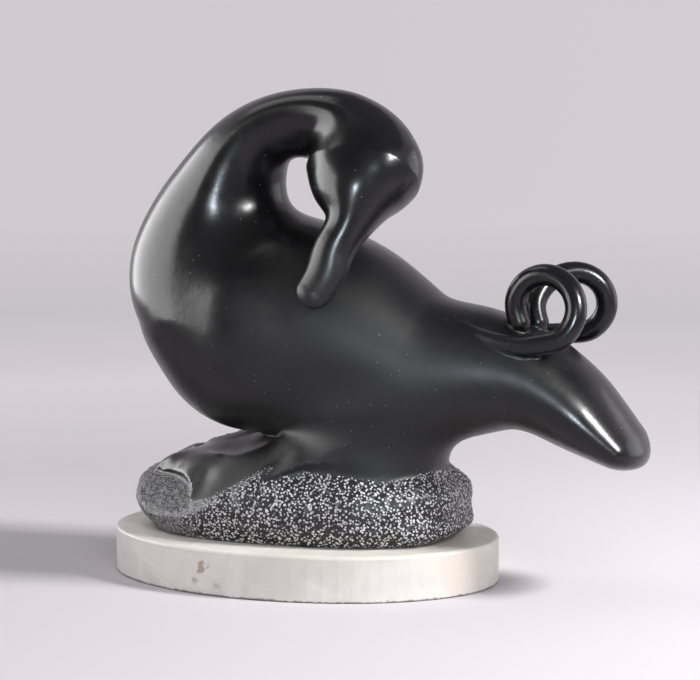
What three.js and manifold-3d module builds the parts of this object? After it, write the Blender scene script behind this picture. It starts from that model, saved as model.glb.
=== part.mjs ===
// A preening duck carved with its rock from one block of black limestone, on an oval plinth of
// off-white marble. Millimetres, +Z up. The duck's tail points to +X and it turns its head to
// the -Y side. The origin is the centre of the plinth's underside.
import * as THREE from 'three';
import { mergeVertices } from 'three/addons/utils/BufferGeometryUtils.js';
import Module from 'manifold-3d';

const wasm = await Module();
wasm.setup();

// Driving sizes, in millimetres
const figureHeight = 290;         // from the rock's underside to the top of the arched neck
const plinthHeight = 30;
const plinthEndMargin = 31;       // bare marble past the rock's foot at each end
const plinthSideMargin = 32.2;    // and along each side
const plinthArris = 2;            // radius of the worn top edge
const plinthChamfer = 0.8;        // small bevel round the underside
const bedGap = 0.3;               // bedding between the rock and the plinth

// The figure's own proportions, all in thousandths of its height. A row of a body form is
// x, y, z above the plinth, half depth in the plane of the spine, half width across it and, for
// the feet, the roll about the spine in degrees.
const thousandth = figureHeight / 1000;

const trunkRows = [
  [-154, 0, 516, 241, 207],
  [-37, 0, 447, 269, 228],
  [138, 0, 392, 249, 228],
  [283, 0, 372, 190, 200],
  [403, 0, 378, 144, 166],
  [517, 0, 367, 119, 138],
  [600, 0, 323, 99, 117],
  [662, 0, 280, 86, 97],
  [730, 0, 231, 58, 76],
];
const trunkCaps = [255, 66];
const neckRows = [
  [-152, 0, 517, 213, 200],
  [-227, -3, 607, 174, 179],
  [-179, -14, 739, 142, 145],
  [-123, -31, 855, 96, 114],
  [0, -52, 923, 73, 90],
  [130, -76, 895, 96, 93],
  [177, -103, 811, 108, 100],
];
const neckCaps = [103, 86];
const headRows = [
  [175, -110, 818, 130, 107],
  [171, -145, 762, 100, 86],
  [159, -176, 710, 57, 55],
  [141, -200, 659, 50, 38],
  [126, -221, 610, 48, 33],
  [107, -238, 566, 45, 28],
];
const headCaps = [139, 34];
const legRows = [
  [179, 0, 60, 159, 179],
  [179, 0, 190, 152, 179],
  [172, 0, 293, 190, 193],
];
const legCaps = [20, 69];
const nearFootRows = [
  [103, -145, 255, 62, 69, -36],
  [7, -152, 193, 31, 69, -36],
  [-93, -159, 138, 31, 62, -36],
  [-207, -128, 107, 28, 79, -36],
  [-276, -103, 93, 24, 83, -36],
  [-345, -76, 83, 21, 69, -36],
];
const farFootRows = [
  [69, 117, 234, 62, 76, 24],
  [-69, 117, 200, 48, 76, 24],
  [-172, 114, 166, 38, 79, 24],
  [-248, 110, 138, 24, 76, 24],
];
const footCaps = [60, 14];

// The near foot lies on a slope of the rock through these three points. The first two are also
// the ends of its front edge.
const nearToe = [-203, -190, 79];
const farToe = [-362, -34, 117];
const heelOfSlope = [55, -207, 190];
const soleDepth = 12;             // how far the slope is cut below the sole, filled by the foot
const toeLean = 0.25;             // the front edge leans in below by this much of its height

// A tail feather rises from the rump as a ridge and winds into a ring that ends by the mid-line
const featherRidge = [
  [393, -97, 490, 5],
  [438, -110, 472, 12],
  [483, -114, 458, 19],
  [528, -116, 452, 22],
];
const ringCentre = [586, 530];
const ringRadius = 78;
const featherRadius = 25;
const ringSpread = [115, 32];     // distance from the mid-line at the ring's start and at its end
const ringStart = -90;            // degrees from +X towards +Z
const ringEnd = 210;
const ringRows = 10;

// The rock: height, centre x and y, half length and half width of each level
const rockRows = [
  [0, -2, -16, 340, 195],
  [28, 2, -6, 377, 219],
  [69, -10, 1, 383, 236],
  [110, -8, 0, 382, 228],
  [152, -5, 0, 340, 200],
  [186, 61, 0, 234, 176],
  [214, 76, 0, 166, 145],
];
const rockSquareness = 2.5;       // 2 is an ellipse, more is squarer

// How finely each form is faceted
const bodySides = 30;
const featherSides = 12;
const footSides = 20;
const rockSides = 56;
const plinthSides = 80;
const rowSteps = 3;               // sections to a span between two rows
const ringRowSteps = 2;           // and on a feather
const capSteps = 3;               // sections in a rounded end
const arrisSteps = 2;

const rockFloor = plinthHeight + bedGap;

// A point of the figure in millimetres, from its shares of the height
function place(x, y, z) {
  return new THREE.Vector3(x * thousandth, y * thousandth, rockFloor + z * thousandth);
}

function curveThrough(points) {
  return new THREE.CatmullRomCurve3(points, false, 'catmullrom', 0.5);
}

// A closed mesh from rings of points that follow each other, and a point at each end
function stitch(rings, startPoint, endPoint) {
  const around = rings[0].length;
  const points = [...rings.flat(), startPoint, endPoint];
  const start = points.length - 2;
  const end = points.length - 1;
  const lastRing = (rings.length - 1) * around;
  const faces = [];
  for (let j = 0; j < around; j += 1) {
    const next = (j + 1) % around;
    faces.push(start, next, j);
    faces.push(lastRing + j, lastRing + next, end);
    for (let i = 0; i < lastRing; i += around) {
      faces.push(i + j, i + next, i + around + next);
      faces.push(i + j, i + around + next, i + around + j);
    }
  }
  const geometry = new THREE.BufferGeometry().setFromPoints(points);
  geometry.setIndex(faces);
  return geometry;
}

// Oval sections along a smooth spine, each rounded off by half an ellipsoid at both ends
function loft(rows, caps, sides, steps = rowSteps) {
  const spine = curveThrough(rows.map(([x, y, z]) => place(x, y, z)));
  const sizes = curveThrough(rows.map(([, , , deep, wide, roll = 0]) => new THREE.Vector3(deep, wide, roll)));
  const count = (rows.length - 1) * steps;
  const rings = [];
  const addRing = (at, advance, scale) => {
    const tangent = spine.getTangent(at);
    const { x: deep, y: wide, z: roll } = sizes.getPoint(at);
    const across = new THREE.Vector3(0, 1, 0).addScaledVector(tangent, -tangent.y).normalize();
    const inPlane = new THREE.Vector3().crossVectors(across, tangent);
    inPlane.applyAxisAngle(tangent, THREE.MathUtils.degToRad(roll));
    across.applyAxisAngle(tangent, THREE.MathUtils.degToRad(roll));
    const centre = spine.getPoint(at).addScaledVector(tangent, advance * thousandth);
    rings.push(Array.from({ length: sides }, (_, j) => {
      const angle = (j / sides) * 2 * Math.PI;
      return centre.clone()
        .addScaledVector(inPlane, deep * scale * thousandth * Math.cos(angle))
        .addScaledVector(across, wide * scale * thousandth * Math.sin(angle));
    }));
  };
  for (let step = capSteps - 1; step > 0; step -= 1) {
    const turn = (step / capSteps) * (Math.PI / 2);
    addRing(0, -caps[0] * Math.sin(turn), Math.cos(turn));
  }
  for (let i = 0; i <= count; i += 1) addRing(i / count, 0, 1);
  for (let step = 1; step < capSteps; step += 1) {
    const turn = (step / capSteps) * (Math.PI / 2);
    addRing(1, caps[1] * Math.sin(turn), Math.cos(turn));
  }
  const tip = (at, advance) => spine.getPoint(at).addScaledVector(spine.getTangent(at), advance * thousandth);
  return stitch(rings, tip(0, -caps[0]), tip(1, caps[1]));
}

// One curled feather. side is 1 for the far one and -1 for the near one.
function feather(side) {
  const rows = featherRidge.map(([x, y, z, radius]) => [x, -side * y, z, radius, radius]);
  for (let i = 0; i < ringRows; i += 1) {
    const along = i / (ringRows - 1);
    const angle = THREE.MathUtils.degToRad(ringStart + (ringEnd - ringStart) * along);
    const spread = ringSpread[1] + (ringSpread[0] - ringSpread[1]) * 0.5 * (1 + Math.cos(Math.PI * along));
    const x = ringCentre[0] + ringRadius * Math.cos(angle);
    const z = ringCentre[1] + ringRadius * Math.sin(angle);
    rows.push([x, side * spread, z, featherRadius, featherRadius]);
  }
  return loft(rows, [featherRidge[0][3], featherRadius], featherSides, ringRowSteps);
}

// The rock's levels are squared ovals, flat below and above
function rock() {
  const centres = curveThrough(rockRows.map(([z, x, y]) => place(x, y, z)));
  const halves = curveThrough(rockRows.map(([, , , long, wide]) => new THREE.Vector3(long, wide, 0)));
  const count = (rockRows.length - 1) * rowSteps;
  const rings = Array.from({ length: count + 1 }, (_, i) => {
    const centre = centres.getPoint(i / count);
    const { x: long, y: wide } = halves.getPoint(i / count);
    return Array.from({ length: rockSides }, (__, j) => {
      const angle = (j / rockSides) * 2 * Math.PI;
      const cosine = Math.cos(angle);
      const sine = Math.sin(angle);
      const reach = (Math.abs(cosine) ** rockSquareness + Math.abs(sine) ** rockSquareness) ** (-1 / rockSquareness);
      const step = new THREE.Vector3(long * cosine, wide * sine, 0).multiplyScalar(reach * thousandth);
      return step.add(centre);
    });
  });
  return stitch(rings, centres.getPoint(0), centres.getPoint(1));
}

// A block that fills everything on the side of a plane that its normal points to
function blockBeyond(point, normal) {
  const size = 2 * figureHeight;
  const block = new THREE.BoxGeometry(size, size, size).translate(0, 0, size / 2);
  const turn = new THREE.Quaternion().setFromUnitVectors(new THREE.Vector3(0, 0, 1), normal);
  return block.applyQuaternion(turn).translate(point.x, point.y, point.z);
}

function solid(geometry) {
  const bare = geometry.clone();
  bare.deleteAttribute('normal');
  bare.deleteAttribute('uv');
  const merged = mergeVertices(bare, 1e-4);
  return new wasm.Manifold(new wasm.Mesh({
    numProp: 3,
    vertProperties: new Float32Array(merged.attributes.position.array),
    triVerts: new Uint32Array(merged.index.array),
  }));
}

function toGeometry(manifold) {
  const mesh = manifold.getMesh();
  const geometry = new THREE.BufferGeometry();
  geometry.setAttribute('position', new THREE.BufferAttribute(mesh.vertProperties, 3));
  geometry.setIndex(new THREE.BufferAttribute(mesh.triVerts, 1));
  geometry.computeVertexNormals();
  return geometry;
}

// The slope under the near foot, and the cut that ends the foot in its straight front edge
function footPlanes() {
  const toe = place(...nearToe);
  const edge = place(...farToe).sub(toe);
  const back = place(...heelOfSlope).sub(toe);
  const up = new THREE.Vector3().crossVectors(back, edge).normalize();
  const forward = new THREE.Vector3().crossVectors(edge, up).normalize();
  if (forward.x > 0) forward.negate();
  forward.addScaledVector(up, -toeLean).normalize();
  return { toe, up, forward };
}

function carveStone() {
  const { toe, up, forward } = footPlanes();
  const slope = toe.clone().addScaledVector(up, -soleDepth * thousandth);
  const slopedRock = solid(rock()).subtract(solid(blockBeyond(slope, up)));
  const nearFoot = solid(loft(nearFootRows, footCaps, footSides)).subtract(solid(blockBeyond(toe, forward)));
  const bedPlane = new THREE.Vector3(0, 0, rockFloor);
  const leg = solid(loft(legRows, legCaps, bodySides)).subtract(solid(blockBeyond(bedPlane, new THREE.Vector3(0, 0, -1))));
  return [
    solid(loft(trunkRows, trunkCaps, bodySides)),
    solid(loft(neckRows, neckCaps, bodySides)),
    solid(loft(headRows, headCaps, bodySides)),
    solid(feather(-1)),
    solid(feather(1)),
    leg,
    nearFoot,
    solid(loft(farFootRows, footCaps, footSides)),
  ].reduce((stone, form) => stone.add(form), slopedRock);
}

// The oval plinth: a turned profile stretched to the rock's proportions
function plinthGeometry() {
  const footRow = rockRows[0];
  const halfLength = footRow[3] * thousandth + plinthEndMargin;
  const halfWidth = footRow[4] * thousandth + plinthSideMargin;
  const profile = [
    new THREE.Vector2(0, 0),
    new THREE.Vector2(halfLength - plinthChamfer, 0),
    new THREE.Vector2(halfLength, plinthChamfer),
  ];
  for (let step = 0; step <= arrisSteps; step += 1) {
    const turn = (step / arrisSteps) * (Math.PI / 2);
    profile.push(new THREE.Vector2(
      halfLength - plinthArris * (1 - Math.cos(turn)),
      plinthHeight - plinthArris * (1 - Math.sin(turn)),
    ));
  }
  profile.push(new THREE.Vector2(0, plinthHeight));
  const turned = new THREE.LatheGeometry(profile, plinthSides).rotateX(Math.PI / 2);
  return turned.scale(1, halfWidth / halfLength, 1);
}

const limestone = new THREE.MeshStandardMaterial({ color: 0x1b1b1f, roughness: 0.28, metalness: 0 });
limestone.name = 'black_limestone';
const marble = new THREE.MeshStandardMaterial({ color: 0xe8e2d8, roughness: 0.45, metalness: 0 });
marble.name = 'white_marble';

const duckOnRock = new THREE.Mesh(toGeometry(carveStone()), limestone);
duckOnRock.name = 'duck_on_rock';

const plinth = new THREE.Mesh(plinthGeometry(), marble);
plinth.name = 'plinth';

const sculpture = new THREE.Group();
sculpture.add(duckOnRock, plinth);

export default sculpture;
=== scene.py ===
"""The preening duck of black limestone on its oval marble plinth, in a plain pale studio."""
import math

import bpy
import numpy as np
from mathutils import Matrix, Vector, noise


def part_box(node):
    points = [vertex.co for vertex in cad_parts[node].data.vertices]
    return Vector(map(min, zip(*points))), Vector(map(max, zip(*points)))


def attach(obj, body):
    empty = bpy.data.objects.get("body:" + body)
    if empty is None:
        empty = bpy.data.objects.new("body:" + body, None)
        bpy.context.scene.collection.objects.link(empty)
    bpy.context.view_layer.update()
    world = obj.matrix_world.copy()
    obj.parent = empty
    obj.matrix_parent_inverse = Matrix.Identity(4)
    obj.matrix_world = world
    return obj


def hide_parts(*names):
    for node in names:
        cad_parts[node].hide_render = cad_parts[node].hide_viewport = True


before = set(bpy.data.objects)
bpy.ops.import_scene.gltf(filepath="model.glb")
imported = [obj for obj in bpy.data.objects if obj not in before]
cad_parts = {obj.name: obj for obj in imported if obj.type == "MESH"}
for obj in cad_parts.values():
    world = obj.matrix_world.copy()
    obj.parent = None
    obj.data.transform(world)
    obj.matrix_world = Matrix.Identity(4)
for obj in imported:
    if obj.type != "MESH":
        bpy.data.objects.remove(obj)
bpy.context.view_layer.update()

MM = 0.001

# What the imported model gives: where the stone stands, and the figure's height
stone_low, stone_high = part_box("duck_on_rock")
plinth_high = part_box("plinth")[1]
rock_floor = stone_low.z / MM
figure_height = (stone_high.z - stone_low.z) / MM
thousandth = figure_height / 1000

# The figure's forms, in thousandths of its height. A row is x, y, z above the plinth, half depth
# in the plane of the spine, half width across it and, for the feet, the roll in degrees. The caps
# are the lengths of a form's two rounded ends.
TRUNK = [
    (-110, 0, 470, 252, 226), (-10, 0, 461, 247, 228), (115, 0, 439, 214, 228),
    (267, 0, 386, 168, 200), (403, 0, 377, 145, 168), (517, 0, 363, 116, 148),
    (600, 0, 323, 97, 142), (656, 0, 284, 83, 138), (738, 0, 223, 52, 122),
]
TRUNK_CAPS = (248, 57)
NECK = [
    (-261, 0, 500, 109, 185), (-261, -3, 591, 144, 176), (-185, -14, 743, 132, 145),
    (-120, -31, 855, 96, 114), (-19, -52, 914, 77, 90), (116, -76, 892, 102, 93),
    (190, -103, 814, 111, 100),
]
NECK_CAPS = (103, 86)
HEAD = [
    (166, -110, 807, 123, 112), (164, -145, 762, 94, 98), (158, -174, 710, 53, 66),
    (136, -200, 659, 46, 50), (124, -221, 610, 44, 38), (100, -238, 566, 38, 26),
]
HEAD_CAPS = (151, 34)
LEG = [(179, 0, 60, 159, 179), (179, 0, 190, 152, 179), (172, 0, 293, 190, 193)]
LEG_CAPS = (20, 69)
FAR_FOOT = [
    (69, 117, 222, 62, 76, 24), (-69, 117, 188, 48, 76, 24), (-172, 114, 152, 38, 79, 24),
    (-248, 110, 124, 24, 76, 24),
]
FOOT_CAPS = (60, 14)
# The near foot lies over the rock like a thick sheet. These points are on its top: down the crest,
# down the near flank, in the hollow of the web behind the crest, and along its outline.
FOOT_CREST = [
    (-4, -103, 246), (-24, -107, 221), (-61, -110, 201), (-105, -107, 184), (-142, -97, 175),
    (-183, -83, 173), (-216, -69, 170), (-249, -59, 163), (-280, -48, 154), (-318, -41, 143),
    (-348, -34, 126),
]
FOOT_FLANK = [
    (40, -172, 212), (5, -159, 200), (-48, -162, 170), (-101, -159, 153), (-152, -148, 142),
    (-196, -131, 130),
]
FOOT_HOLLOW = [
    (-40, -57, 217), (-77, -60, 196), (-121, -57, 179), (-158, -47, 170), (-199, -33, 169),
    (-99, 5, 207), (-143, 8, 191), (-190, 18, 182),
]
FOOT_FRONT = [
    (-369, -28, 107), (-351, -34, 119), (-330, -48, 123), (-292, -72, 128), (-269, -93, 130),
    (-250, -114, 126), (-233, -134, 118), (-221, -155, 106), (-215, -179, 88), (-207, -190, 80),
]
FOOT_NEAR_EDGE = [
    (-176, -197, 88), (-139, -203, 100), (-104, -207, 111), (-69, -210, 124), (-32, -210, 141),
    (4, -207, 157), (42, -203, 175), (86, -197, 188),
]
FOOT_INNER_EDGE = [(140, -160, 205), (190, 0, 240), (60, 90, 240)]
FOOT_FAR_EDGE = [
    (-215, 76, 195), (-254, 83, 185), (-270, 69, 169), (-283, 55, 163), (-332, 17, 141),
    (-359, -14, 122),
]
FOOT_DEPTH = 70
# The heights between which the near foot is looked for
FOOT_LEVELS = (20, 300)
# How far the foot's front edge leans out over the rock for each unit of height, and down to what
# depth, in millimetres
FRONT_LEAN = 0.35
LEAN_DEPTH = 12
# The rock's top, where it falls away to the left under the foot
GROUND = [
    (-203, -190, 75), (-362, -34, 112), (55, -207, 190), (-290, -72, 113), (-250, -114, 103),
    (-330, -50, 113), (-330, 28, 137), (-283, 62, 163), (-215, 100, 190), (-365, 90, 138),
    (-303, 117, 166), (-170, -10, 155), (-69, 0, 180), (0, 0, 215), (86, -197, 192),
    (155, -193, 216), (210, -172, 245), (345, 0, 300), (200, 200, 290), (-20, 200, 240),
    (-170, 200, 190), (-420, 0, 95), (-300, -200, 20),
]
# The start of each curled feather, along the tail: x, y, z and radius
RIDGE = [(393, -97, 490, 5), (438, -110, 472, 12), (483, -114, 458, 19), (528, -116, 452, 22)]
FEATHER_RADIUS = 24
# The near and far ring: centre x and z, radius, how far out it starts and ends, and how late it
# closes. The turn is in degrees from +X towards +Z.
NEAR_RING = (575, 531, 72.5, 113, 53, 0.9)
FAR_RING = (598, 525, 69, 117, 5, 2.1)
RING_TURN = (-90, 210)
RING_ROWS = 10
# The rock's levels: height, centre x and y, half length and half width
ROCK = [
    (0, -2, -16, 340, 195), (28, 2, -6, 377, 219), (69, -10, 1, 383, 236), (110, -8, 0, 382, 228),
    (152, -5, 0, 340, 200), (186, 61, 0, 234, 176), (214, 76, 0, 166, 145),
]
ROCK_SQUARENESS = 2.5
# The loop's hole opens out towards the front: its middle, radius, how fast it widens, how far
# behind its middle it still narrows, in millimetres, and how much less its height counts than
# its width
HOLE_MIDDLE = (15, -55, 770)
HOLE_RADIUS = 48
HOLE_WIDENING = 1.1
HOLE_BACK = 8
HOLE_HEIGHT_SHARE = 0.8

# How softly one form runs into the next, in millimetres
NECK_BLEND = 22.0
FEATHER_BLEND = 2.5
LEG_BLEND = 22.0
FOOT_LEG_BLEND = 24.0
FLARE_BLEND = 12.0
FOOT_BLEND = 3.0
FOOT_EDGE = 1.2
ROCK_BLEND = 2.0
# The head against the body: share of the way from the neck to the bill's tip, and softness
HEAD_BLENDS = [(0, 12.0), (0.15, 8.0), (0.35, 2.5), (1, 1.6)]
# Between which x, in millimetres, the near foot starts to run softly into the leg
LEG_JOIN = (-12, 38)
# How softly the rock's side turns into its bed, its top and the slope under the foot
BED_EDGE = 1.5
TOP_EDGE = 8.0
SLOPE_EDGE = 3.0

# About what a height over a slope has to be multiplied by to be a distance from it
STEEPNESS = 0.8

# The rock's relief: the size of each kind of lump and how far it moves the surface, and how far
# in from the duck and up from the bed it reaches its full strength
RELIEF = [(24.0, 2.2), (8.5, 0.9), (2.7, 0.55)]
RELIEF_START = 1.5
RELIEF_BED = 3

# Colours of the stone
POLISHED_DARK = (0.0042, 0.0042, 0.0052)
POLISHED_LIGHT = (0.0085, 0.0080, 0.0085)
GRAIN = (0.30, 0.29, 0.27)
ROCK_DARK = (0.016, 0.016, 0.018)
ROCK_GREY = (0.050, 0.049, 0.051)
PECK_WHITE = (0.74, 0.74, 0.75)
PECK_GREY = (0.40, 0.395, 0.40)

# Finish of the stone
STONE_IOR = 1.41
POLISH_ROUGHNESS = (0.19, 0.29)
ROCK_ROUGHNESS = (0.4, 0.85)      # between the pecks and in them
# Where the polish is duller: middle and reach in millimetres, and how much roughness is added
DULL = [((55, -62, 125), 120, 0.30), ((165, -15, 138), 48, 0.14), ((-62, -35, 68), 62, 0.06)]
# Pale grains in the polish, in metres: spacing, radius, and the share of places that have one
GRAINS = [(0.0045, 0.00028, 0.26), (0.017, 0.00055, 0.16)]
PITS = (0.021, 0.0007, 0.1)
PIT_DEPTH = 0.0004
RIPPLE_SIZE = 0.012
RIPPLE_DEPTH = 0.00018
# The rock's peck marks, in metres: spacing, radius, size and amount of the push that makes them
# ragged, and how soft their edges are. Towards the left, between the two x of the fade, the fine
# ones take over.
COARSE_PECKS = (0.0019, 0.00074, 0.0026, 0.0009, 0.2)
FINE_PECKS = (0.0015, 0.00062, 0.0014, 0.0005, 0.3)
FINE_FADE = (-0.045, -0.07)
PECK_DEPTH = 0.0005
SPOT_SCATTER = 0.88               # 0 is a grid of spots and 1 is wholly random

# Colours of the marble, and its stains: x, height, radius and strength, in millimetres
MARBLE_LIGHT = (0.81, 0.775, 0.74)
MARBLE_SHADE = (0.70, 0.67, 0.64)
MARBLE_WARM = (0.74, 0.67, 0.58)
MARBLE_FLECK = (0.42, 0.38, 0.33)
STAIN = (0.33, 0.26, 0.19)
LOW_EDGE_DARK = (0.09, 0.075, 0.065)
MARBLE_STAINS = [(-41, 17, 4.2, 0.85), (-46, 9, 2.6, 0.55), (-30, 7, 2.8, 0.35)]
MARBLE_ROUGHNESS = (0.42, 0.58)
LOW_EDGE_DARK_HEIGHTS = (0.0016, 0.0006)   # between which the lower edge darkens, in metres

# Measuring, in millimetres. A form is measured only near its box, and farther off its distance is
# taken as the distance from the box and a little more.
SPINE_SAMPLES = 6                 # to a span between two rows
SPINE_ROUNDS = 3                  # of moving towards the nearest point of the spine
SPINE_STEP = 0.2                  # the longest move in a round, as a share of a span
FORM_NEAR = 12.0
FORM_MORE = 20.0
FOOT_NEAR = 25.0
FOOT_MORE = 5.0
POINTS_AT_ONCE = 100000
SLOPE_STEP = 0.2                  # how far from a point its surface's slope is measured
SETTLE_ROUNDS = 2
SETTLE_MOST = 3                   # the farthest a point moves in a round

# Meshing, in millimetres
COARSE_GRID = 4.2
BLOCK = 4                         # cells along a block that is searched or skipped as a whole
BLOCK_REACH = 0.9                 # share of a block within which the surface may cross it
GRID_MARGIN = 8.0
SHARP_TURN = 0.975                # cosine of the turn between neighbours that asks for finer faces
ROCK_MARGIN = 0.6                 # how far past the rock's edge it still gets finer faces
BED_MARGIN = 0.7                  # how far up from its bed it starts to

# The photograph's view, in degrees and metres: where the camera stands, the point it is set by and
# the pixel where that point is in the photograph
VIEW_AZIMUTH = 18.0
VIEW_ELEVATION = 7.5
VIEW_DISTANCE = 1.8
PICTURE = (700, 680)
PIXELS_PER_METRE = 1529.3         # at the look point
LOOK_POINT = Vector((0, 0, 0.15))
LOOK_PIXEL = (305.2, 347.3)
SENSOR_MM = 36.0

# The studio, in metres: a bowl-shaped backdrop, a flat floor that turns up into a wall
FLAT_RADIUS = 2.6
COVE_RADIUS = 0.9
WALL_HEIGHT = 3.2
BOWL_SIDES = 96
FLOOR_RINGS = 24
FIRST_RING = 0.1
COVE_STEPS = 16
# Round the plinth, up to this radius, the paper is lit by the lights. Farther out it glows by itself
# with
# painted light and shade: tones by distance from the middle, a little brighter on the right, dimmer in
# front.
LIT_RADIUS = 0.45
PAPER = (0.62, 0.59, 0.62)
# Painted light and shade of the backdrop: the tone of its glow at each distance from the middle
BACKDROP_PAINTED_LIGHT = [
    (0.50, (0.79, 0.75, 0.78)), (0.75, (0.73, 0.69, 0.72)), (1.05, (0.64, 0.60, 0.63)),
    (1.45, (0.585, 0.555, 0.58)), (1.90, (0.62, 0.58, 0.61)), (2.60, (0.66, 0.62, 0.65)),
]
SIDE_REACH = 1.0
SIDE_GLOW = (0.96, 1.04)
FRONT_REACH = (-1.6, 0.2)
FRONT_GLOW = 0.45
CEILING = (0.95, 0.96, 1.0)
CEILING_STRENGTH = 0.17
LIGHT_AIM = Vector((0, 0, 0.16))
WHITE = (1.0, 1.0, 1.0)
BLUISH = (0.80, 0.90, 1.0)
# The soft lights: name, azimuth, elevation, distance, size, power, colour, and whether they light
# matte surfaces, show in the polish, or both
LIGHTS = [
    ("right_softbox", 64, 27, 1.5, (0.28, 0.28), 32, WHITE, "polish"),
    ("front_window", 19, 8, 2.2, (0.16, 0.20), 27, BLUISH, "polish"),
    ("side_softbox", 88, 40, 1.5, (0.30, 0.30), 28, WHITE, "matte"),
    ("right_panel", 125, 8, 1.3, (0.80, 0.80), 3, WHITE, "polish"),
    ("left_panel", -78, 2, 1.2, (2.00, 1.45), 62, WHITE, "polish"),
    ("top_panel", -95, 62, 1.3, (0.70, 0.70), 3, WHITE, "both"),
    ("front_fill", 34, 28, 2.0, (1.00, 1.00), 12, WHITE, "matte"),
]


def natural_spline(rows):
    """Second derivatives of the natural cubic spline through the rows, one unit a span."""
    count = len(rows)
    matrix = np.eye(count)
    right = np.zeros_like(rows)
    for i in range(1, count - 1):
        matrix[i, i - 1:i + 2] = (1, 4, 1)
        right[i] = 6 * (rows[i - 1] - 2 * rows[i] + rows[i + 1])
    return np.linalg.solve(matrix, right)


class Loft:
    """Oval sections along a smooth spine, rounded off at both ends, as a signed distance.

    With run_on, the sections' taper runs on into the last rounded end.
    """

    def __init__(self, rows, caps, run_on=0.0):
        rows = np.array([tuple(r) + (0,) * (6 - len(r)) for r in rows], float)
        rows[:, 2] += rock_floor / thousandth
        rows[:, :5] *= thousandth
        self.rows = rows
        self.bend = natural_spline(rows)
        self.caps = np.array(caps) * thousandth
        self.run_on = run_on
        self.last = len(rows) - 1
        self.samples = np.linspace(0, self.last, self.last * SPINE_SAMPLES + 1)
        self.points = self.at(self.samples)[0][:, :3]
        reach = rows[:, 3:5].max() + self.caps.max()
        self.low = rows[:, :3].min(0) - reach
        self.high = rows[:, :3].max(0) + reach

    def at(self, t):
        """The row and its two derivatives at each spine parameter t."""
        i = np.clip(t.astype(int), 0, self.last - 1)
        b = (t - i)[:, None]
        a = 1 - b
        r0, r1, m0, m1 = self.rows[i], self.rows[i + 1], self.bend[i], self.bend[i + 1]
        value = a * r0 + b * r1 + ((a ** 3 - a) * m0 + (b ** 3 - b) * m1) / 6
        slope = r1 - r0 + ((1 - 3 * a ** 2) * m0 + (3 * b ** 2 - 1) * m1) / 6
        return value, slope, a * m0 + b * m1

    def __call__(self, p):
        """Signed distance and spine parameter from 0 to 1 of each point."""
        box = np.linalg.norm(np.maximum(np.maximum(self.low - p, p - self.high), 0), axis=1)
        out = box + FORM_MORE
        where = np.zeros(len(p))
        near = np.flatnonzero(box < FORM_NEAR)
        for start in range(0, len(near), POINTS_AT_ONCE):
            part = near[start:start + POINTS_AT_ONCE]
            out[part], where[part] = self.measure(p[part])
        return out, where

    def measure(self, q):
        """The same for points near the form: first the nearest point of its spine, then its section."""
        first = np.argmin((self.points ** 2).sum(1) - 2 * q @ self.points.T, axis=1)
        t = self.samples[first]
        for _ in range(SPINE_ROUNDS):
            row, slope, bend = self.at(t)
            away = q - row[:, :3]
            speed = (slope[:, :3] ** 2).sum(1)
            pull = np.maximum(speed - (away * bend[:, :3]).sum(1), 0.2 * speed)
            along = (away * slope[:, :3]).sum(1) / pull
            t = np.clip(t + np.clip(along, -SPINE_STEP, SPINE_STEP), 0, self.last)
        row, slope, _ = self.at(t)
        tangent = slope[:, :3] / np.linalg.norm(slope[:, :3], axis=1)[:, None]
        across = np.array((0.0, 1.0, 0.0)) - tangent * tangent[:, 1:2]
        across /= np.linalg.norm(across, axis=1)[:, None]
        in_plane = np.cross(across, tangent)
        roll = np.radians(row[:, 5:6])
        turned = in_plane * np.cos(roll) + across * np.sin(roll)
        across = across * np.cos(roll) - in_plane * np.sin(roll)
        away = q - row[:, :3]
        beyond = (away * tangent).sum(1)
        taper = slope[:, 3:5] / np.linalg.norm(slope[:, :3], axis=1)[:, None]
        carried = np.where(t >= self.last, np.clip(beyond, 0, self.caps[1]), 0) * self.run_on
        deep, wide = (row[:, 3:5] + taper * carried[:, None]).T
        x = (away * turned).sum(1) / deep
        y = (away * across).sum(1) / wide
        cap = np.where(t <= 0, self.caps[0], self.caps[1])
        over = np.where(t <= 0, -beyond, beyond)
        over = np.where((t <= 0) | (t >= self.last), np.maximum(over, 0), 0) / cap
        reach = np.sqrt(x * x + y * y + over * over) + 1e-9
        rate = np.sqrt((x / deep) ** 2 + (y / wide) ** 2 + (over / cap) ** 2) + 1e-9
        return reach * (reach - 1) / rate, t / self.last


def blend(a, b, width):
    """The union of two distances, run together over the width."""
    h = np.clip(0.5 + 0.5 * (b - a) / width, 0, 1)
    return b + (a - b) * h - width * h * (1 - h)


def cut(a, b, width):
    """What is inside both distances, with a softened edge."""
    return -blend(-a, -b, width)


def feather_rows(side, ring):
    """Rows of a curled feather: its ridge on the tail, then its ring. Side is -1 for the near one."""
    rows = [(x, -side * y, z, r, r) for x, y, z, r in RIDGE]
    middle_x, middle_z, radius, outer, inner, closing = ring
    start, end = RING_TURN
    for i in range(RING_ROWS):
        along = i / (RING_ROWS - 1)
        angle = math.radians(start + (end - start) * along)
        ease = 0.5 * (1 + math.cos(math.pi * along ** closing))
        x = middle_x + radius * math.cos(angle)
        z = middle_z + radius * math.sin(angle)
        y = side * (inner + (outer - inner) * ease)
        rows.append((x, y, z, FEATHER_RADIUS, FEATHER_RADIUS))
    return rows


def place(point):
    """A point given in thousandths above the plinth, in millimetres above the ground."""
    return np.array(point, float) * thousandth + np.array((0, 0, rock_floor))


trunk = Loft(TRUNK, TRUNK_CAPS, run_on=1.0)
neck = Loft(NECK, NECK_CAPS)
head = Loft(HEAD, HEAD_CAPS)
leg = Loft(LEG, LEG_CAPS)
far_foot = Loft(FAR_FOOT, FOOT_CAPS)
hole_middle = place(HOLE_MIDDLE)
feathers = [
    Loft(feather_rows(side, ring), (RIDGE[0][3], FEATHER_RADIUS))
    for side, ring in ((-1, NEAR_RING), (1, FAR_RING))
]


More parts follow.
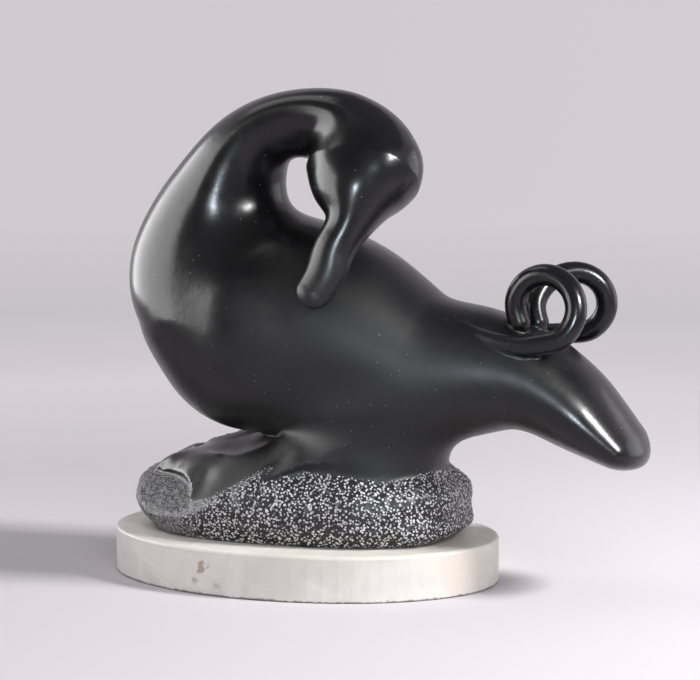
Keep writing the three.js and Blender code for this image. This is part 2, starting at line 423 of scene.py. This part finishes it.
class Sheet:
    """A height over the ground plan, the smoothest one through the given points."""

    def __init__(self, points):
        points = np.array([place(point) for point in points])
        self.plan = points[:, :2]
        count = len(points)
        matrix = np.zeros((count + 3, count + 3))
        matrix[:count, :count] = self.bend(points[:, :2])
        matrix[:count, count] = 1
        matrix[:count, count + 1:] = self.plan
        matrix[count:, :count] = matrix[:count, count:].T
        self.weights = np.linalg.solve(matrix, np.append(points[:, 2], np.zeros(3)))

    def bend(self, plan):
        """How much each given point bends the sheet at each place."""
        square = ((plan[:, None] - self.plan[None]) ** 2).sum(2) + 1e-9
        return square * np.log(square)

    def __call__(self, p):
        count = len(self.plan)
        plan = p[:, :2]
        level = self.bend(plan) @ self.weights[:count] + self.weights[count]
        return level + plan @ self.weights[count + 1:]


def outline_distance(corners, plan):
    """Signed distance in the ground plan from a closed outline."""
    nearest = np.full(len(plan), 1e9)
    inside = np.zeros(len(plan), bool)
    for a, b in zip(corners, np.roll(corners, -1, 0)):
        edge = b - a
        away = plan - a
        along = np.clip(away @ edge / (edge @ edge), 0, 1)
        nearest = np.minimum(nearest, np.linalg.norm(away - along[:, None] * edge, axis=1))
        between = (a[1] > plan[:, 1]) != (b[1] > plan[:, 1])
        rise = edge[1] if abs(edge[1]) > 1e-9 else 1e-9
        inside ^= between & (plan[:, 0] < a[0] + edge[0] * (plan[:, 1] - a[1]) / rise)
    return np.where(inside, -nearest, nearest)


foot_outline = FOOT_FRONT + FOOT_NEAR_EDGE + FOOT_INNER_EDGE + FOOT_FAR_EDGE
foot_corners = np.array([place(point)[:2] for point in foot_outline])
foot_top = Sheet(foot_outline + FOOT_CREST + FOOT_FLANK + FOOT_HOLLOW)
foot_low = np.append(foot_corners.min(0), place((0, 0, FOOT_LEVELS[0]))[2])
foot_high = np.append(foot_corners.max(0), place((0, 0, FOOT_LEVELS[1]))[2])
ground = Sheet(GROUND)


def near_foot_distance(p):
    """The foot's sheet, cut along its outline. Its front edge leans out."""
    box = np.linalg.norm(np.maximum(np.maximum(foot_low - p, p - foot_high), 0), axis=1)
    out = box + FOOT_MORE
    near = np.flatnonzero(out < FOOT_NEAR + FOOT_MORE)
    q = p[near]
    below = foot_top(q) - q[:, 2]
    side = outline_distance(foot_corners, q[:, :2]) + FRONT_LEAN * np.clip(below, 0, LEAN_DEPTH)
    sheet = cut(-STEEPNESS * below, side, FOOT_EDGE)
    out[near] = np.maximum(sheet, STEEPNESS * (below - FOOT_DEPTH * thousandth))
    return out


rock_rows = np.array(ROCK, float) * thousandth
rock_rows[:, 0] += rock_floor
rock_bend = natural_spline(rock_rows[:, 1:])


def rock_distance(p):
    """The rock's levels, cut off flat below, softly above, and by the slope under the foot."""
    levels = rock_rows[:, 0]
    z = np.clip(p[:, 2], levels[0], levels[-1])
    i = np.clip(np.searchsorted(levels, z, side="right") - 1, 0, len(levels) - 2)
    b = ((z - levels[i]) / (levels[i + 1] - levels[i]))[:, None]
    a = 1 - b
    row = a * rock_rows[i, 1:] + b * rock_rows[i + 1, 1:]
    row += ((a ** 3 - a) * rock_bend[i] + (b ** 3 - b) * rock_bend[i + 1]) / 6
    u = np.abs(p[:, 0] - row[:, 0]) / row[:, 2]
    v = np.abs(p[:, 1] - row[:, 1]) / row[:, 3]
    reach = (u ** ROCK_SQUARENESS + v ** ROCK_SQUARENESS) ** (1 / ROCK_SQUARENESS)
    side = (reach - 1) * np.minimum(row[:, 2], row[:, 3])
    solid = cut(side, levels[0] - p[:, 2], BED_EDGE)
    solid = cut(solid, p[:, 2] - levels[-1], TOP_EDGE)
    return cut(solid, STEEPNESS * (p[:, 2] - ground(p)), SLOPE_EDGE)


def loop_flare(p):
    """Distance from the trumpet-shaped space in front of the loop's hole, below zero inside it."""
    away = p - hole_middle
    out = np.hypot(away[:, 0], HOLE_HEIGHT_SHARE * away[:, 2])
    radius = HOLE_RADIUS * thousandth + HOLE_WIDENING * np.maximum(-away[:, 1], -HOLE_BACK)
    return (out - radius) / math.hypot(1, HOLE_WIDENING)


def body_distance(p):
    """The trunk with its tail, and the arched neck with its loop."""
    body, _ = trunk(p)
    arch, _ = neck(p)
    arch = cut(arch, -loop_flare(p), FLARE_BLEND)
    return blend(body, arch, NECK_BLEND)


def duck_distance(p):
    """The whole bird, both feet with it."""
    body = body_distance(p)
    face, along = head(p)
    body = blend(body, face, np.interp(along, *zip(*HEAD_BLENDS)))
    body = blend(body, leg(p)[0], LEG_BLEND)
    for feather in feathers:
        body = blend(body, feather(p)[0], FEATHER_BLEND)
    start, end = LEG_JOIN
    near_leg = 0.5 - 0.5 * np.cos(np.pi * np.clip((p[:, 0] - start) / (end - start), 0, 1))
    softness = FOOT_BLEND + (FOOT_LEG_BLEND - FOOT_BLEND) * near_leg
    body = blend(body, near_foot_distance(p), softness)
    return blend(body, far_foot(p)[0], FOOT_BLEND)


def stone_distance(p):
    """The duck and its rock as one stone, cut off flat at its bed."""
    solid = blend(duck_distance(p), rock_distance(p), ROCK_BLEND)
    return np.maximum(solid, rock_floor - p[:, 2])


def gradient(distance, p):
    """Which way the distance grows at each point, and how fast."""
    corners = np.array([(1, -1, -1), (-1, -1, 1), (-1, 1, -1), (1, 1, 1)], float)
    return sum(c * distance(p + c * SLOPE_STEP)[:, None] for c in corners) / (4 * SLOPE_STEP)


def settle(distance, p):
    """Moves points onto the surface along its normals."""
    for _ in range(SETTLE_ROUNDS):
        g = gradient(distance, p)
        far = np.clip(distance(p), -SETTLE_MOST, SETTLE_MOST)
        p = p - (far / ((g * g).sum(1) + 1e-9))[:, None] * g
    return p


def surface_net(distance, low, high, cell):
    """Quads round the zero surface of a distance, looked for only in blocks that it may cross."""
    low = np.array(low, float)
    blocks = np.ceil((np.array(high) - low) / (cell * BLOCK)).astype(int)
    size = cell * BLOCK
    marks = [low[i] + size * np.arange(blocks[i] + 1) for i in range(3)]
    corner = np.stack(np.meshgrid(*marks, indexing="ij"), -1)
    coarse = distance(corner.reshape(-1, 3)).reshape(corner.shape[:3])
    field = np.sign(coarse[:-1, :-1, :-1]) * 1e3
    for axis in range(3):
        field = np.repeat(field, BLOCK, axis)
    field = np.pad(field, ((0, 1),) * 3, mode="edge")
    steps = [(i, j, k) for i in (0, 1) for j in (0, 1) for k in (0, 1)]
    around = np.stack([
        coarse[i:i + blocks[0], j:j + blocks[1], k:k + blocks[2]] for i, j, k in steps
    ])
    near = BLOCK_REACH * size
    crossed = np.argwhere((around.min(0) < near) & (around.max(0) > -near))
    offsets = np.stack(np.meshgrid(*[np.arange(BLOCK + 1)] * 3, indexing="ij"), -1).reshape(-1, 3)
    cells = (crossed[:, None, :] * BLOCK + offsets[None]).reshape(-1, 3)
    flat = np.unique(np.ravel_multi_index(cells.T, field.shape))
    index = np.stack(np.unravel_index(flat, field.shape), -1)
    field.reshape(-1)[flat] = distance(low + index * cell)
    inside = field < 0
    shape = np.array(field.shape) - 1
    count = sum(
        inside[i:shape[0] + i, j:shape[1] + j, k:shape[2] + k].astype(int) for i, j, k in steps
    )
    active = np.argwhere((count > 0) & (count < 8))
    number = -np.ones(tuple(shape), int)
    number[tuple(active.T)] = np.arange(len(active))
    total = np.zeros((len(active), 3))
    found = np.zeros(len(active))
    for start in steps:
        for axis in range(3):
            if start[axis]:
                continue
            end = list(start)
            end[axis] = 1
            a = field[tuple((active + start).T)]
            b = field[tuple((active + end).T)]
            crosses = (a < 0) != (b < 0)
            point = active + np.array(start, float)
            point[:, axis] += np.where(crosses, a / np.where(crosses, a - b, 1), 0)
            total[crosses] += point[crosses]
            found[crosses] += 1
    points = low + cell * total / found[:, None]
    faces = []
    for axis in range(3):
        others = [i for i in range(3) if i != axis]
        before = np.moveaxis(inside, axis, 0)[:-1]
        after = np.moveaxis(inside, axis, 0)[1:]
        edge = np.argwhere(before != after)
        leaves = before[tuple(edge.T)]
        at = np.zeros((len(edge), 3), int)
        at[:, axis] = edge[:, 0]
        at[:, others[0]] = edge[:, 1]
        at[:, others[1]] = edge[:, 2]
        back1 = np.eye(3, dtype=int)[others[0]]
        back2 = np.eye(3, dtype=int)[others[1]]
        round_edge = (at - back1 - back2, at - back2, at, at - back1)
        quad = np.stack([number[tuple(corners.T)] for corners in round_edge], 1)
        turn = ~leaves if axis != 1 else leaves
        quad[turn] = quad[turn][:, ::-1]
        faces.append(quad)
    return points, np.vstack(faces)


def refine(distance, points, faces, chosen):
    """Splits the chosen quads in four. A neighbour takes the new point on a shared edge."""
    split = {}
    parts = []
    new_points = []

    def middle(a, b):
        key = (a, b) if a < b else (b, a)
        if key not in split:
            split[key] = len(points) + len(new_points)
            new_points.append((points[a] + points[b]) / 2)
        return split[key]

    for face in (f for f, c in zip(faces, chosen) if c):
        mids = [middle(face[i], face[(i + 1) % 4]) for i in range(4)]
        centre = len(points) + len(new_points)
        new_points.append(sum(points[i] for i in face) / 4)
        parts.extend((face[i], mids[i], centre, mids[i - 1]) for i in range(4))
    for face in (f for f, c in zip(faces, chosen) if not c):
        ring = []
        for i, a in enumerate(face):
            b = face[(i + 1) % len(face)]
            ring.append(a)
            key = (a, b) if a < b else (b, a)
            if key in split:
                ring.append(split[key])
        parts.append(tuple(ring))
    new_points = settle(distance, np.array(new_points))
    return np.vstack((points, new_points)), parts


def sharp_faces(normals, faces):
    """Four-sided faces whose corner normals turn apart."""
    return np.array([
        len(f) == 4 and min(normals[f[0]] @ normals[f[2]], normals[f[1]] @ normals[f[3]]) < SHARP_TURN
        for f in faces
    ])


def unit(v):
    """The vectors, each made one long."""
    return v / (np.linalg.norm(v, axis=1)[:, None] + 1e-12)


def rock_depth(p):
    """How far inside the rock's own surface a point is, in millimetres; below zero on the duck."""
    return duck_distance(p) - rock_distance(p)


def rock_faces(points, faces):
    """Four-sided faces on the pecked rock, apart from its bed."""
    shown = (rock_depth(points) > -ROCK_MARGIN) & (points[:, 2] > rock_floor + BED_MARGIN)
    return np.array([len(f) == 4 and any(shown[i] for i in f) for f in faces])


def pecked(points, normals, depth):
    """The points with the rock's moved out and in by its relief, and how strong that is at each."""
    share = np.clip(depth / RELIEF_START, 0, 1)
    share = share * np.clip((points[:, 2] - rock_floor) / RELIEF_BED, 0, 1)
    moved = points.copy()
    for i in np.flatnonzero(share > 0):
        at = Vector(points[i])
        rise = sum(height * noise.noise(at / size) for size, height in RELIEF)
        moved[i] += normals[i] * share[i] * rise
    return moved, share


def make_piece(name, points, faces):
    """A smooth-shaded object of points in millimetres."""
    mesh = bpy.data.meshes.new(name)
    mesh.from_pydata((points * MM).tolist(), [], [tuple(int(i) for i in f) for f in faces])
    mesh.polygons.foreach_set("use_smooth", [True] * len(mesh.polygons))
    mesh.update()
    piece = bpy.data.objects.new(name, mesh)
    bpy.context.scene.collection.objects.link(piece)
    return piece


def stone_piece():
    """The carved stone as one closed mesh, finer where it turns sharply and on the rock."""
    low = np.array(stone_low) / MM - GRID_MARGIN
    high = np.array(stone_high) / MM + GRID_MARGIN
    points, faces = surface_net(stone_distance, low, high, COARSE_GRID)
    points = settle(stone_distance, points)
    normals = unit(gradient(stone_distance, points))
    faces = [tuple(f) for f in faces]
    finer = sharp_faces(normals, faces) | rock_faces(points, faces)
    points, faces = refine(stone_distance, points, faces, finer)
    points, faces = refine(stone_distance, points, faces, rock_faces(points, faces))
    normals = unit(gradient(stone_distance, points))
    depth = rock_depth(points)
    points, share = pecked(points, normals, depth)
    piece = make_piece("duck_on_rock_carving", points, faces)
    mesh = piece.data
    rough = np.zeros(len(points) * 3)
    mesh.vertex_normals.foreach_get("vector", rough)
    share = share[:, None]
    normals = unit(normals * (1 - share) + rough.reshape(-1, 3) * share)
    mesh.normals_split_custom_set_from_vertices([tuple(n) for n in normals])
    mesh.attributes.new("rock_depth", "FLOAT", "POINT").data.foreach_set("value", depth)
    return piece


class Nodes:
    """A material, and short ways to build its nodes. Sizes are in metres of the object."""

    def __init__(self, name):
        self.material = bpy.data.materials.new(name)
        self.material.use_nodes = True
        self.tree = self.material.node_tree
        self.shader = self.tree.nodes["Principled BSDF"]
        self.place = self.add("TexCoord").outputs["Object"]

    def add(self, kind, **settings):
        node = self.tree.nodes.new("ShaderNode" + kind)
        for key, value in settings.items():
            setattr(node, key, value)
        return node

    def put(self, value, socket):
        if isinstance(value, bpy.types.NodeSocket):
            self.tree.links.new(value, socket)
        elif isinstance(value, tuple) and socket.type == "RGBA":
            socket.default_value = (*value, 1)
        else:
            socket.default_value = value

    def math(self, operation, a, b):
        node = self.add("Math", operation=operation)
        self.put(a, node.inputs[0])
        self.put(b, node.inputs[1])
        return node.outputs[0]

    def noise(self, size, detail=2.0, rough=0.5, warp=0.0):
        """Soft random values round 0.5. Its lumps are about the given size."""
        node = self.add("TexNoise")
        self.put(self.place, node.inputs["Vector"])
        node.inputs["Scale"].default_value = 1 / size
        node.inputs["Detail"].default_value = detail
        node.inputs["Roughness"].default_value = rough
        node.inputs["Distortion"].default_value = warp
        return node.outputs["Fac"]

    def spots(self, spacing, radius, share=1.0, at=None, soft=0.3):
        """1 inside small spots, of which only the given share are there."""
        node = self.add("TexVoronoi")
        self.put(at or self.place, node.inputs["Vector"])
        node.inputs["Scale"].default_value = 1 / spacing
        node.inputs["Randomness"].default_value = SPOT_SCATTER
        size = radius / spacing
        near = self.step(node.outputs["Distance"], (1 + soft) * size, (1 - soft) * size)
        if share >= 1:
            return near
        pick = self.add("SeparateColor")
        self.put(node.outputs["Color"], pick.inputs[0])
        return self.math("MULTIPLY", near, self.math("LESS_THAN", pick.outputs[0], share))

    def pecks(self, spacing, radius, push_size, push, soft):
        """1 inside ragged marks."""
        return self.spots(spacing, radius, at=self.warped(push_size, push), soft=soft)

    def warped(self, size, amount):
        """The place, pushed about by noise, so that round spots become ragged strokes."""
        node = self.add("TexNoise")
        self.put(self.place, node.inputs["Vector"])
        node.inputs["Scale"].default_value = 1 / size
        push = self.add("VectorMath", operation="MULTIPLY_ADD")
        self.put(node.outputs["Color"], push.inputs[0])
        push.inputs[1].default_value = (2 * amount, 2 * amount, 2 * amount)
        self.put(self.place, push.inputs[2])
        return push.outputs[0]

    def step(self, value, low, high, out_low=0.0, out_high=1.0):
        """Runs from out_low to out_high as the value goes from low to high."""
        node = self.add("MapRange")
        for socket, number in zip(node.inputs, (value, low, high, out_low, out_high)):
            self.put(number, socket)
        return node.outputs[0]

    def mix(self, share, a, b):
        node = self.add("Mix", data_type="RGBA")
        self.put(share, node.inputs[0])
        self.put(a, node.inputs[6])
        self.put(b, node.inputs[7])
        return node.outputs[2]

    def axis(self, name):
        node = self.add("SeparateXYZ")
        self.put(self.place, node.inputs[0])
        return node.outputs[name]

    def distance_from(self, point):
        node = self.add("VectorMath", operation="DISTANCE")
        self.put(self.place, node.inputs[0])
        node.inputs[1].default_value = point
        return node.outputs["Value"]

    def bump(self, height, depth, under=None):
        """The normal over a height of 0 to 1 that stands for the given depth."""
        node = self.add("Bump")
        node.inputs["Distance"].default_value = depth
        self.put(height, node.inputs["Height"])
        if under is not None:
            self.put(under, node.inputs["Normal"])
        return node.outputs["Normal"]

    def finish(self, colour, rough, normal):
        self.put(colour, self.shader.inputs["Base Color"])
        self.put(rough, self.shader.inputs["Roughness"])
        self.put(normal, self.shader.inputs["Normal"])
        return self.material


def black_limestone():
    """Polished black stone with pale grains and pits, and the rock's white peck marks."""
    n = Nodes("black_limestone")
    depth = n.add("Attribute", attribute_name="rock_depth").outputs["Fac"]
    ragged = n.step(n.noise(0.0018, 3.0), 0.3, 0.7, -0.8, 0.8)
    is_rock = n.step(n.math("ADD", depth, ragged), 0.0, 0.25)

    cloud = n.noise(0.06, 5.0, 0.6)
    polished = n.mix(n.step(cloud, 0.35, 0.7), POLISHED_DARK, POLISHED_LIGHT)
    for grains in GRAINS:
        polished = n.mix(n.spots(*grains), polished, GRAIN)
    polished_rough = n.step(n.noise(0.03, 6.0, 0.65), 0.3, 0.7, *POLISH_ROUGHNESS)
    for middle, reach, more in DULL:
        away = n.distance_from(tuple(c * MM for c in middle))
        dull = n.step(away, reach * MM, 0.4 * reach * MM, 0.0, more)
        polished_rough = n.math("ADD", polished_rough, dull)
    ripple = n.bump(n.noise(RIPPLE_SIZE, 3.0, 0.55), RIPPLE_DEPTH)
    polished_bump = n.bump(n.spots(*PITS), -PIT_DEPTH, ripple)

    # The left end of the rock is dressed finer and looks greyer
    across = n.math("ADD", n.axis("X"), n.step(n.noise(0.03), 0.3, 0.7, -0.012, 0.012))
    fine = n.step(across, *FINE_FADE)
    coarse_mark = n.pecks(*COARSE_PECKS)
    fine_mark = n.pecks(*FINE_PECKS)
    mark = n.add("Mix", data_type="FLOAT")
    n.put(fine, mark.inputs[0])
    n.put(coarse_mark, mark.inputs[2])
    n.put(fine_mark, mark.inputs[3])
    mark = mark.outputs[0]
    ground_colour = n.mix(fine, ROCK_DARK, ROCK_GREY)
    white = n.mix(fine, PECK_WHITE, PECK_GREY)
    rock = n.mix(mark, ground_colour, white)
    rock_rough = n.step(mark, 0, 1, *ROCK_ROUGHNESS)
    rock_bump = n.bump(mark, PECK_DEPTH)

    rough = n.add("Mix", data_type="FLOAT")
    n.put(is_rock, rough.inputs[0])
    n.put(polished_rough, rough.inputs[2])
    n.put(rock_rough, rough.inputs[3])
    normal = n.add("Mix", data_type="VECTOR")
    n.put(is_rock, normal.inputs[0])
    n.put(polished_bump, normal.inputs[4])
    n.put(rock_bump, normal.inputs[5])
    n.put(STONE_IOR, n.shader.inputs["IOR"])
    return n.finish(n.mix(is_rock, polished, rock), rough.outputs[0], normal.outputs[1])


def white_marble():
    """Off-white honed marble, clouded, with a few stains and a rough dark lower edge."""
    n = Nodes("white_marble")
    cloud = n.noise(0.035, 5.0, 0.6, 1.5)
    colour = n.mix(n.step(cloud, 0.38, 0.66), MARBLE_LIGHT, MARBLE_SHADE)
    warm = n.step(n.noise(0.07, 3.0, 0.5, 0.8), 0.48, 0.68, 0.0, 0.6)
    colour = n.mix(warm, colour, MARBLE_WARM)
    colour = n.mix(n.step(n.noise(0.0035, 3.0, 0.7), 0.66, 0.8, 0.0, 0.35), colour, MARBLE_FLECK)
    for x, z, radius, share in MARBLE_STAINS:
        point = (x * MM, plinth_side(x) * MM, z * MM)
        edge = n.step(n.noise(0.004, 3.0), 0.3, 0.7, -0.6 * radius * MM, 0.6 * radius * MM)
        away = n.math("ADD", n.distance_from(point), edge)
        colour = n.mix(n.step(away, radius * MM, 0.6 * radius * MM, 0.0, share), colour, STAIN)
    # Darker towards the bottom edge, in a ragged band a millimetre or two high
    low_edge = n.math("ADD", n.axis("Z"), n.step(n.noise(0.003, 4.0), 0.3, 0.7, -0.0006, 0.0006))
    colour = n.mix(n.step(low_edge, *LOW_EDGE_DARK_HEIGHTS, 0.0, 0.85), colour, LOW_EDGE_DARK)
    rough = n.step(n.noise(0.01, 5.0, 0.6), 0.3, 0.7, *MARBLE_ROUGHNESS)
    fine = n.bump(n.noise(0.0012, 3.0, 0.6), 0.00006)
    return n.finish(colour, rough, n.bump(n.noise(0.02, 4.0, 0.5), 0.0005, fine))


def plinth_side(x):
    """The near side of the plinth's oval at x, all in millimetres."""
    half_length = plinth_high.x / MM
    half_width = plinth_high.y / MM
    return -half_width * math.sqrt(1 - min(1, (x / half_length) ** 2))


def add_camera():
    """The camera at the photograph's viewing angle, framed as the photograph is."""
    azimuth = math.radians(VIEW_AZIMUTH)
    elevation = math.radians(VIEW_ELEVATION)
    level = math.cos(elevation)
    right = Vector((math.cos(azimuth), math.sin(azimuth), 0))
    forward = Vector((-math.sin(azimuth) * level, math.cos(azimuth) * level, -math.sin(elevation)))
    up = right.cross(forward)
    aim = LOOK_POINT + right * ((PICTURE[0] / 2 - LOOK_PIXEL[0]) / PIXELS_PER_METRE)
    aim += up * ((LOOK_PIXEL[1] - PICTURE[1] / 2) / PIXELS_PER_METRE)
    data = bpy.data.cameras.new("camera")
    data.sensor_width = SENSOR_MM
    data.lens = PIXELS_PER_METRE * VIEW_DISTANCE / PICTURE[0] * SENSOR_MM
    camera = bpy.data.objects.new("camera", data)
    camera.location = aim - forward * VIEW_DISTANCE
    camera.rotation_euler = forward.to_track_quat("-Z", "Y").to_euler()
    bpy.context.scene.collection.objects.link(camera)
    bpy.context.scene.camera = camera


def add_light(name, azimuth, elevation, distance, size, power, colour, on):
    """A soft rectangular light that faces the stone. Azimuth 0 is in front and 90 on the right."""
    across = math.radians(azimuth)
    up = math.radians(elevation)
    way = Vector((math.sin(across) * math.cos(up), -math.cos(across) * math.cos(up), math.sin(up)))
    data = bpy.data.lights.new(name, "AREA")
    data.shape = "RECTANGLE"
    data.size, data.size_y = size
    data.energy = power
    data.color = colour
    light = bpy.data.objects.new(name, data)
    light.location = LIGHT_AIM + way * distance
    light.rotation_euler = way.to_track_quat("Z", "Y").to_euler()
    light.visible_camera = False
    light.visible_diffuse = on != "polish"
    light.visible_glossy = on != "matte"
    bpy.context.scene.collection.objects.link(light)


def add_backdrop():
    """One seamless bowl: a flat floor that turns up into a wall all round."""
    profile = [(r, 0.0) for r in np.linspace(FIRST_RING, FLAT_RADIUS, FLOOR_RINGS)]
    for turn in np.linspace(0, math.pi / 2, COVE_STEPS + 1)[1:]:
        out = FLAT_RADIUS + COVE_RADIUS * math.sin(turn)
        profile.append((out, COVE_RADIUS * (1 - math.cos(turn))))
    profile.append((FLAT_RADIUS + COVE_RADIUS, WALL_HEIGHT))
    count = BOWL_SIDES
    points = [(0.0, 0.0, 0.0)]
    for radius, height in profile:
        for a in np.linspace(0, 2 * math.pi, count + 1)[:-1]:
            points.append((radius * math.cos(a), radius * math.sin(a), height))
    faces = [(0, 1 + i, 1 + (i + 1) % count) for i in range(count)]
    for level in range(len(profile) - 1):
        first = 1 + level * count
        for i in range(count):
            j = (i + 1) % count
            faces.append((first + i, first + count + i, first + count + j, first + j))
    backdrop = make_piece("backdrop", np.array(points) / MM, faces)
    backdrop.data.materials.append(backdrop_paper())


def backdrop_paper():
    """Pale paper, lit near the plinth; farther out it glows with painted light and shade in soft tones.
    """
    n = Nodes("backdrop")
    across = n.add("SeparateXYZ")
    n.put(n.place, across.inputs[0])
    flat = n.add("CombineXYZ")
    n.put(across.outputs[0], flat.inputs[0])
    n.put(across.outputs[1], flat.inputs[1])
    length = n.add("VectorMath", operation="LENGTH")
    n.put(flat.outputs[0], length.inputs[0])
    radius = length.outputs["Value"]
    # Painted light and shade: the tone of the glow goes by distance from the middle
    tone = n.add("ValToRGB")
    n.put(n.math("DIVIDE", radius, FLAT_RADIUS), tone.inputs[0])
    ramp = tone.color_ramp.elements
    while len(ramp) < len(BACKDROP_PAINTED_LIGHT):
        ramp.new(0.5)
    for element, (at, colour) in zip(ramp, BACKDROP_PAINTED_LIGHT):
        element.position = at / FLAT_RADIUS
        element.color = (*colour, 1)
    glow = n.add("Emission")
    n.put(tone.outputs[0], glow.inputs[0])
    # Painted light on the right and painted shade in front
    side = n.step(across.outputs[0], -SIDE_REACH, SIDE_REACH, *SIDE_GLOW)
    front = n.step(across.outputs[1], *FRONT_REACH, FRONT_GLOW, 1.0)
    n.put(n.math("MULTIPLY", side, front), glow.inputs[1])
    paper = n.add("BsdfDiffuse")
    n.put(PAPER, paper.inputs[0])
    mixed = n.add("MixShader")
    n.put(n.step(radius, LIT_RADIUS, 2 * LIT_RADIUS), mixed.inputs[0])
    n.put(paper.outputs[0], mixed.inputs[1])
    n.put(glow.outputs[0], mixed.inputs[2])
    n.put(mixed.outputs[0], n.tree.nodes["Material Output"].inputs[0])
    return n.material


def add_studio():
    """The dim ceiling, the backdrop and the soft lights."""
    bpy.context.scene.view_settings.view_transform = "Standard"
    world = bpy.data.worlds.new("studio")
    world.use_nodes = True
    background = world.node_tree.nodes["Background"]
    background.inputs["Color"].default_value = (*CEILING, 1)
    background.inputs["Strength"].default_value = CEILING_STRENGTH
    bpy.context.scene.world = world
    add_backdrop()
    for light in LIGHTS:
        add_light(*light)


add_camera()
add_studio()
carving = stone_piece()
carving.data.materials.append(black_limestone())
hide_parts("duck_on_rock")
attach(carving, "root")
marble_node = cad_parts["plinth"]
marble_node.data.materials.clear()
marble_node.data.materials.append(white_marble())
